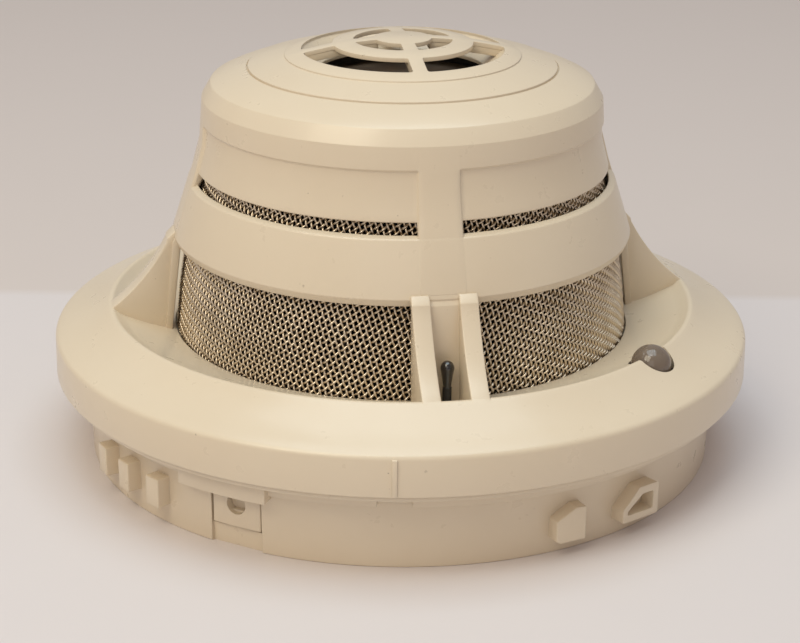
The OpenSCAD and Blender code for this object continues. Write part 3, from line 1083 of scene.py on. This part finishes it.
@dataclass
class InsectScreen:
    """Plain-woven wire cloth: a flat sheet that is rolled into a cone, with its wires on the skew."""

    low: float = 20.3
    high: float = 49.3
    wire_r: float = 0.2
    pitch: float = 0.85
    front_deg: float = -99.8
    seam_deg: float = 90.0
    cone: float = 0.165
    middle_z: float = 32.0
    middle_r: float = 36.45
    rising_deg: float = 36.5
    falling_deg: float = -72.5
    rising_crest: float = 0.24
    falling_crest: float = 0.15
    sheet_half: float = 150
    samples: int = 3
    groups: int = 5

    def radius(self, height: float) -> float:
        """Gives the cloth's middle radius.

        Args:
            height: The height.

        Returns:
            The radius at that height.
        """
        line = [
            (19.2, 37.85), (21.2, 37.75), (28.0, 37.05), (35.4, 35.85), (40.5, 34.65), (46.2, 33.15),
            (49.4, 32.45),
        ]
        for (z1, r1), (z2, r2) in zip(line, line[1:]):
            if height <= z2:
                return r1 + (r2 - r1) * (height - z1) / (z2 - z1)
        return line[-1][1]

    def rolled(self, x: float, y: float) -> tuple[float, float]:
        """Rolls a point of the flat sheet into the cone.

        Args:
            x: Distance to the right of the sheet's front line.
            y: Distance above the sheet's middle.

        Returns:
            The point's direction, in radians from the front, and its height.
        """
        reach = self.middle_r / self.cone
        slant = math.hypot(x, reach - y)
        return math.atan2(x, reach - y) / self.cone, self.middle_z + reach - slant

    def wires(self, own_deg: float, other_deg: float, crest: float) -> list[list[Vector]]:
        """Lays one family of wires over and under the other family.

        Args:
            own_deg: The slant of this family's wires on the flat sheet.
            other_deg: The slant of the other family's wires.
            crest: How far a wire swings to either side of the cloth's middle.

        Returns:
            The centre line of each wire, in metres.
        """
        along = Vector((math.cos(math.radians(own_deg)), math.sin(math.radians(own_deg))))
        across = Vector((-along.y, along.x))
        other = Vector((-math.sin(math.radians(other_deg)), math.cos(math.radians(other_deg))))
        step = self.pitch / abs(along.dot(other)) / self.samples
        first = self.seam_deg - 360 - self.front_deg
        last = self.seam_deg - self.front_deg
        span, stride = int(self.sheet_half / self.pitch), int(self.sheet_half / step)
        wires = []
        for number in range(-span, span + 1):
            line: list[Vector] = []
            for k in range(-stride, stride + 1):
                flat = across * (number * self.pitch) + along * (k * step)
                direction, height = self.rolled(flat.x, flat.y)
                inside = self.low < height < self.high and first < math.degrees(direction) < last
                if inside:
                    crossing = flat.dot(other) / self.pitch
                    parity = 0 if own_deg > 0 else 1
                    radius = self.radius(height) + crest * math.cos(math.pi * (crossing + number + parity))
                    angle = direction + math.radians(self.front_deg)
                    line.append(Vector((radius * math.cos(angle), radius * math.sin(angle), height)) * MM)
                if line and (not inside or k == stride):
                    if len(line) > 2:
                        wires.append(line)
                    line = []
        return wires

    def build(self, finishes: Finishes) -> None:
        """Makes the cloth as groups of swept wires.

        Args:
            finishes: The detector's finishes.
        """
        wires = self.wires(self.rising_deg, self.falling_deg, self.rising_crest)
        wires += self.wires(self.falling_deg, self.rising_deg, self.falling_crest)
        for group in range(self.groups):
            mesh = swept_wires(wires[group :: self.groups], self.wire_r * MM, 1)
            name = f"screen_wires_{group + 1}"
            mesh.name = name
            piece = Piece(name, Body.COVER, "screen_steel", ("insect_screen",), smooth_degrees=80)
            piece.adopt(mesh, finishes.wire)


# ---------------------------------------------------------------- sensors


@dataclass
class IndicatorLens:
    """The domed smoky lens in the flange's notch."""

    at: tuple[float, float] = (48.8, -45.8)
    radius: float = 3.2
    dome_z: float = 23.4

    def build(self, finishes: Finishes) -> None:
        """Makes the lens with its stem and the pocket over the indicator.

        Args:
            finishes: The detector's finishes.
        """
        turns = [math.radians(a) for a in range(0, 90, 9)]
        dome = [
            (self.radius * math.cos(a), self.dome_z + self.radius * math.sin(a), 0.0) for a in turns
        ]
        outline = rounded([
            (1.6, 13.6, 0.1), (2.2, 13.6, 0.1), (2.2, 19.5, 0.1), (self.radius - 0.05, 20.2, 0.2),
            *dome, (0.0, self.dome_z + self.radius, 0.0), (0.0, 16.1, 0.0), (1.6, 16.1, 0.1),
        ])
        lens = placed(turned(outline, 96), around(self.at[1], self.at[0]))
        Piece("indicator_lens", Body.BASE, "smoked_lens", ("light_pipe",)).make(lens, finishes.lens)


@dataclass
class SensorBead:
    """The dipped thermistor bead on its sleeve."""

    at: tuple[float, float] = (41.6, -90.0)
    centre_z: float = 27.55
    radius: float = 1.08

    def build(self, finishes: Finishes) -> None:
        """Makes the teardrop bead and the sleeve under it.

        Args:
            finishes: The detector's finishes.
        """
        tall = self.radius * 1.06
        ball = [
            (self.radius * math.cos(math.radians(a)), self.centre_z + tall * math.sin(math.radians(a)), 0.0)
            for a in range(-20, 90, 11)
        ]
        outline = rounded([
            (0.0, 24.3, 0.0), (0.62, 24.3, 0.1), (0.66, 24.9, 0.0), (0.86, 26.3, 0.8), *ball,
            (0.0, self.centre_z + tall, 0.0),
        ])
        bead = placed(turned(outline, 64), around(self.at[1], self.at[0]))
        Piece("sensor_bead", Body.BASE, "bead", ("thermistor",), 60).make(bead, finishes.bead)
        sleeve = rounded([
            (0.42, 13.6, 0.0), (0.7, 13.6, 0.0), (0.7, 24.5, 0.15), (0.42, 24.5, 0.0),
        ])
        tube = placed(turned(sleeve, 48), around(self.at[1], self.at[0]))
        Piece("sensor_sleeve", Body.BASE, "black_plastic", ("thermistor_sleeve",)).make(tube, finishes.black)


# ---------------------------------------------------------------- base


@dataclass
class BaseMoulding:
    """The ivory base: skirt, floor plate, the cover's seat, lugs, and the latch's window."""

    skirt_r: float = 53.0
    skirt_wall: float = 2.2
    floor_low: float = 6.0
    floor_high: float = 8.0
    latch_deg: float = -127.8
    window_w: float = 9.0
    window_low: float = 3.1
    plain_lugs: tuple[float, ...] = (-159.5, -151.9, -143.8)
    solid_lugs: tuple[float, ...] = (-72.1, 48.0, 132.0)
    hollow_lugs: tuple[float, ...] = (-58.3, 61.8, 145.8)
    bosses: tuple[float, ...] = (20.0, 110.0, 200.0, 290.0)
    boss_at: float = 46.0

    def body(self) -> bmesh.types.BMesh:
        """Makes the turned part, with its window and the gap in its thin rim.

        Returns:
            The skirt, the floor plate and the seat as one mesh.
        """
        inner = self.skirt_r - self.skirt_wall
        ring = turned(rounded([
            (0.0, self.floor_low, 0.0), (inner, self.floor_low, 0.4), (inner, 0.0, 0.15),
            (self.skirt_r - 0.05, 0.0, 0.2), (self.skirt_r + 0.1, 10.7, 0.15), (54.6, 10.7, 0.12),
            (54.6, 13.1, 0.1), (57.6, 13.1, 0.12), (57.6, 13.8, 0.12), (56.3, 13.8, 0.15),
            (56.3, 16.6, 0.25), (55.0, 16.6, 0.2), (54.2, 12.0, 0.0), (inner, 12.0, 0.15),
            (inner, self.floor_high, 0.4), (0.0, self.floor_high, 0.0),
        ]), 300)
        half = self.window_w / 2
        gap = turned_sector([(53.3, 10.4), (56, 10.4), (56, 12.95), (53.3, 12.95)], -103.33, -97.71, 5)
        turn = around(self.latch_deg)
        return carved(ring, [
            placed(box((48.6, -half, self.window_low), (56.6, half, 9.5)), turn),
            placed(box((48.4, -half - 0.01, self.window_low - 0.01), (52.2, half + 0.01, 10.4)), turn),
            placed(box((52.2, -half - 0.02, -1), (58.2, half + 0.02, 4)), turn),
            gap,
        ])

    def lug(self, outlines: Sequence[Sequence[Place]], degrees: float, low: float) -> bmesh.types.BMesh:
        """Stands a lug's outline up on the skirt.

        Args:
            outlines: The outline as seen from outside, and its hole if it has one.
            degrees: The direction of the lug.
            low: The height of the lug's lower edge.

        Returns:
            The lug in its place.
        """
        block = softened(plate(outlines, 2.7), 0.22, 3, 50)
        upright = Matrix(((0, 0, 1, 0), (1, 0, 0, 0), (0, 1, 0, 0), (0, 0, 0, 1)))
        return placed(block, around(degrees, self.skirt_r + 2.4, low) @ upright)

    def lugs(self) -> list[bmesh.types.BMesh]:
        """Makes every lug.

        Returns:
            The lugs in their places.
        """
        plain = [(-1.5, 0.0), (1.5, 0.0), (1.5, 4.9), (-1.5, 4.9)]
        solid = rounded([(-2.2, 0.5, 0.2), (-1.5, 0.0, 0.2), (3.0, 0.0, 0.2), (3.0, 5.5, 0.3),
                         (1.2, 5.6, 0.4), (-2.2, 3.8, 0.4)], 3)
        hollow = rounded([(-3.0, 0.4, 0.4), (5.0, 0.0, 0.4), (5.0, 5.4, 0.6), (0.6, 5.6, 0.6),
                          (-3.0, 2.6, 0.5)], 3)
        hole = rounded([(-1.9, 1.5, 0.3), (3.8, 1.2, 0.3), (3.8, 4.2, 0.4), (1.4, 4.3, 0.4),
                        (-1.9, 2.2, 0.3)], 3)
        return [
            *[self.lug([plain], degrees, 3.5) for degrees in self.plain_lugs],
            *[self.lug([solid], degrees, 2.4) for degrees in self.solid_lugs],
            *[self.lug([hollow, hole], degrees, 2.3) for degrees in self.hollow_lugs],
        ]

    def ledge(self) -> bmesh.types.BMesh:
        """Makes the block over the latch's window."""
        outline = [(53.2, 9.6), (55.6, 9.6), (55.6, 13.2), (53.2, 13.2)]
        return softened(turned_sector(outline, self.latch_deg - 9.5, self.latch_deg + 6.8, 12), 0.15, 2, 60)

    def boss(self, degrees: float) -> bmesh.types.BMesh:
        """Makes one board boss with its screw hole.

        Args:
            degrees: The boss's direction.

        Returns:
            The boss in its place.
        """
        outline = rounded([
            (1.25, self.floor_high - 0.5, 0.0), (3.0, self.floor_high - 0.5, 0.0), (3.0, 12.0, 0.2),
            (1.25, 12.0, 0.15),
        ], 2)
        return placed(turned(outline, 48), around(degrees, self.boss_at))

    def ears(self) -> list[bmesh.types.BMesh]:
        """Makes the two ears that hold the latch's pin.

        Returns:
            The ears in their places.
        """
        half, width = self.window_w / 2, 2
        blocks = [box((48.9, side, 6.5), (51.5, side + width, 11.7)) for side in (-half - width, half)]
        return [placed(softened(block, 0.15, 2), around(self.latch_deg)) for block in blocks]

    def build(self, finishes: Finishes) -> None:
        """Makes the base moulding as one piece.

        Args:
            finishes: The detector's finishes.
        """
        shell = joined([
            self.body(), self.ledge(), *self.lugs(), *self.ears(), *[self.boss(d) for d in self.bosses],
        ])
        piece = Piece("base_shell", Body.BASE, "ivory_plastic", ("base_moulding",))
        piece.make(shell, finishes.ivory)


@dataclass
class LockingLatch:
    """The latch plate with its round hole, and the torsion spring behind it."""

    direction: float = -127.8
    pivot_r: float = 50.7
    pivot_z: float = 9.0
    low: float = 3.4
    high: float = 9.2
    half_w: float = 4.2
    hole_r: float = 1.65
    hole_z: float = 7.2
    coil_r: float = 0.87
    coil_half_w: float = 1.1
    coil_turns: float = 4.75
    coil_wire_r: float = 0.17
    leg_low: float = 5.0
    leg_end_r: float = 47.5

    def plate_mesh(self) -> bmesh.types.BMesh:
        """Makes the curved plate with its barrel, hole and release lip.

        Returns:
            The latch, facing +X.
        """
        swing = math.degrees(math.asin(self.half_w / 52.1))
        skin = turned_sector(
            [(51.3, self.low), (52.9, self.low), (52.9, self.high), (51.3, self.high)], -swing, swing, 14
        )
        skin = softened(skin, 0.2, 3, 60)
        hole = placed(drum(self.hole_r, -1.2, 1.2, 48), Matrix.Translation((52.6, 0, self.hole_z)) @ lying())
        notch = softened(box((48, -1.6, 7.4), (51.9, 1.6, 10.9)), 0.2)
        skin = carved(skin, [hole, notch])
        lip = softened(box((51.35, -1.6, 4.9), (52.1, 1.6, 6.0)), 0.15, 2)
        barrel = turned(rounded([(0.65, -self.half_w, 0.1), (1.2, -self.half_w, 0.15), (1.2, -1.6, 0.1),
                                 (0.65, -1.6, 0.1)], 2), 48)
        other = turned(rounded([(0.65, 1.6, 0.1), (1.2, 1.6, 0.1), (1.2, self.half_w, 0.15),
                                (0.65, self.half_w, 0.1)], 2), 48)
        axle = Matrix.Translation((self.pivot_r, 0, self.pivot_z)) @ Matrix.Rotation(math.pi / 2, 4, "X")
        return joined([skin, lip, placed(barrel, axle), placed(other, axle)])

    def spring_mesh(self) -> bpy.types.Mesh:
        """Winds the torsion spring: its coil and two legs, as one swept wire.

        Returns:
            The spring's mesh, in metres and in its place.
        """
        coil_r, half_w, per_turn = self.coil_r, self.coil_half_w, 24
        steps = int(self.coil_turns * per_turn)
        line = [Vector((self.pivot_r + coil_r, half_w, z)) for z in (self.leg_low, self.pivot_z)]
        for k in range(1, steps + 1):
            a = math.tau * k / per_turn
            line.append(Vector((
                self.pivot_r + coil_r * math.cos(a), half_w - 2 * half_w * k / steps,
                self.pivot_z + coil_r * math.sin(a),
            )))
        line.append(Vector((self.leg_end_r, -half_w, self.pivot_z - coil_r + 0.05)))
        turn = around(self.direction)
        mesh = swept_wires([[(turn @ p) * MM for p in line]], self.coil_wire_r * MM, 3, capped=True)
        mesh.name = "latch_coil"
        return mesh

    def build(self, finishes: Finishes) -> None:
        """Makes the latch and its spring.

        Args:
            finishes: The detector's finishes.
        """
        latch = placed(self.plate_mesh(), around(self.direction))
        Piece("latch_plate", Body.LATCH, "ivory_plastic", ("locking_latch",)).make(latch, finishes.ivory)
        spring = Piece("latch_coil", Body.BASE, "steel", ("latch_spring",), 80)
        spring.adopt(self.spring_mesh(), finishes.steel)


# ---------------------------------------------------------------- inner parts


class InnerParts:
    """Parts whose shapes come from the frame and only need their finish."""

    def dress(self, nodes: dict[str, bpy.types.Object], finishes: Finishes) -> None:
        """Gives every carried-over node its finish.

        Args:
            nodes: The frame's nodes by name.
            finishes: The detector's finishes.
        """
        plan = {
            "screen_retainer": finishes.ivory, "latch_pin": finishes.steel,
            "contact_posts": finishes.brass, "main_board": finishes.board,
            "board_screws": finishes.steel, "microcontroller": finishes.black,
            "smoothing_capacitor": finishes.black, "sounder_transformer": finishes.black,
            "board_header": finishes.black, "indicator_led": finishes.white,
            "chamber_base": finishes.black, "labyrinth": finishes.black,
            "chamber_lid": finishes.black, "ir_emitter": finishes.optic,
            "photodiode": finishes.optic, "photodiode_shield": finishes.steel,
            "sounder_carrier": finishes.black, "carrier_screws": finishes.steel,
            "sounder_housing": finishes.black, "piezo_disc": finishes.brass,
            "sounder_diaphragm": finishes.diaphragm, "sounder_front": finishes.black,
            "sounder_gasket": finishes.rubber, "sounder_lead": finishes.lead,
        }
        plan |= {f"contact_blade_{k}": finishes.brass for k in range(1, 5)}
        for name, material in plan.items():
            node = nodes[name]
            node.data.materials.clear()
            node.data.materials.append(material)
            LOG.info("%s keeps its own mesh", name)


# ---------------------------------------------------------------- studio


@dataclass(frozen=True)
class SoftLamp:
    """A soft square lamp that faces the object, placed by direction and distance."""

    name: str
    azimuth: float
    elevation: float
    power: float
    size: float = 0.5
    reach: float = 0.9
    tint: tuple[float, float, float] = (1.0, 0.97, 0.93)

    def hang(self) -> None:
        """Makes the lamp."""
        e, a = math.radians(self.elevation), math.radians(self.azimuth)
        out = Vector((math.cos(e) * math.cos(a), math.cos(e) * math.sin(a), math.sin(e)))
        data = bpy.data.lights.new(self.name, "AREA")
        data.shape = "SQUARE"
        data.size = self.size
        data.energy = self.power
        data.color = self.tint
        lamp = bpy.data.objects.new(self.name, data)
        lamp.location = Vector((0, 0, 0.03)) + out * self.reach
        lamp.rotation_mode = "QUATERNION"
        lamp.rotation_quaternion = (-out).to_track_quat("-Z", "Y")
        bpy.context.scene.collection.objects.link(lamp)


@dataclass
class Studio:
    """The pale table, the soft light and the camera."""

    distance: float = 340.0
    elevation: float = 20.81
    azimuth: float = -99.8
    target: tuple[float, float, float] = (-0.118, 0.02, 19.4)
    roll: float = 0.43
    lens: float = 89.1
    table_edge: float = 66.0
    table: tuple[float, float, float] = (0.72, 0.675, 0.675)
    wall: tuple[float, float, float] = (0.665, 0.60, 0.57)
    air_tint: tuple[float, float, float] = (1.1, 0.97, 0.92)
    air_strength: float = 0.35
    lamps: tuple[SoftLamp, ...] = (
        SoftLamp("overhead", 0, 89, 3.7, 0.7, tint=(0.82, 0.98, 1.05)),
        SoftLamp("key_front_left", -140, 50, 2.9, 0.5, tint=(1.05, 0.95, 0.74)),
        SoftLamp("window_front", -105, 25, 0.4, 0.5),
        SoftLamp("ceiling_panel", -107, 72, 0.35, 0.22),
    )

    def camera(self) -> None:
        """Makes the camera and makes it the scene's own."""
        e, a = math.radians(self.elevation), math.radians(self.azimuth)
        back = Vector((math.cos(e) * math.cos(a), math.cos(e) * math.sin(a), math.sin(e)))
        data = bpy.data.cameras.new("camera")
        data.lens = self.lens
        data.sensor_width = 36
        data.clip_start = 0.01
        camera = bpy.data.objects.new("camera", data)
        camera.rotation_mode = "QUATERNION"
        turn = (-back).to_track_quat("-Z", "Y").to_matrix() @ Matrix.Rotation(math.radians(self.roll), 3, "Z")
        camera.location = (Vector(self.target) + back * self.distance) * MM
        camera.rotation_quaternion = turn.to_quaternion()
        bpy.context.scene.collection.objects.link(camera)
        bpy.context.scene.camera = camera

    def floor_material(self) -> bpy.types.Material:
        """Makes the table's finish: pale and satin, with a greyer ground beyond the table's edge.

        Returns:
            The material.
        """
        recipe = Recipe("table_ground")
        mapping = recipe.add("ShaderNodeMapping", Rotation=(0, 0, math.radians(-90 - self.azimuth)))
        recipe.join(recipe.place(), mapping.inputs["Vector"])
        axes = recipe.add("ShaderNodeSeparateXYZ")
        recipe.join(mapping.outputs["Vector"], axes.inputs["Vector"])
        near, far = (self.table_edge - 1.5) * MM, (self.table_edge + 2.5) * MM
        edge = recipe.add("ShaderNodeMapRange", From_Min=near, From_Max=far)
        recipe.join(axes.outputs["Y"], edge.inputs["Value"])
        ground = recipe.mix(edge.outputs["Result"], self.table, self.wall)
        recipe.join(ground, recipe.surface.inputs["Base Color"])
        recipe.join(recipe.spread(recipe.noise(60, 3), 0.5, 0.62), recipe.surface.inputs["Roughness"])
        return recipe.material

    def floor(self) -> None:
        """Makes the table top under the object."""
        bm = bmesh.new()
        bmesh.ops.create_grid(bm, x_segments=8, y_segments=8, size=4.0)
        mesh = bpy.data.meshes.new("table_top")
        bm.to_mesh(mesh)
        bm.free()
        table = bpy.data.objects.new("table_top", mesh)
        bpy.context.scene.collection.objects.link(table)
        mesh.materials.append(self.floor_material())

    def light(self) -> None:
        """Hangs the lamps and makes the even surrounding light."""
        for lamp in self.lamps:
            lamp.hang()
        world = bpy.data.worlds.new("studio_air")
        bpy.context.scene.world = world
        world.use_nodes = True
        air = world.node_tree.nodes["Background"]
        air.inputs["Color"].default_value = (*self.air_tint, 1)
        air.inputs["Strength"].default_value = self.air_strength
        bpy.context.scene.view_settings.view_transform = "Standard"

    def build(self) -> None:
        """Sets up the whole studio."""
        self.camera()
        self.floor()
        self.light()


def main() -> None:
    """Builds the detector and its studio."""
    logging.basicConfig(level=logging.INFO, format="%(message)s")
    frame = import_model()
    finishes = Finishes()
    Studio().build()
    OuterCover().build(finishes)
    InsectScreen().build(finishes)
    IndicatorLens().build(finishes)
    SensorBead().build(finishes)
    BaseMoulding().build(finishes)
    LockingLatch().build(finishes)
    InnerParts().dress(frame["nodes"], finishes)


if __name__ == "__main__":
    main()
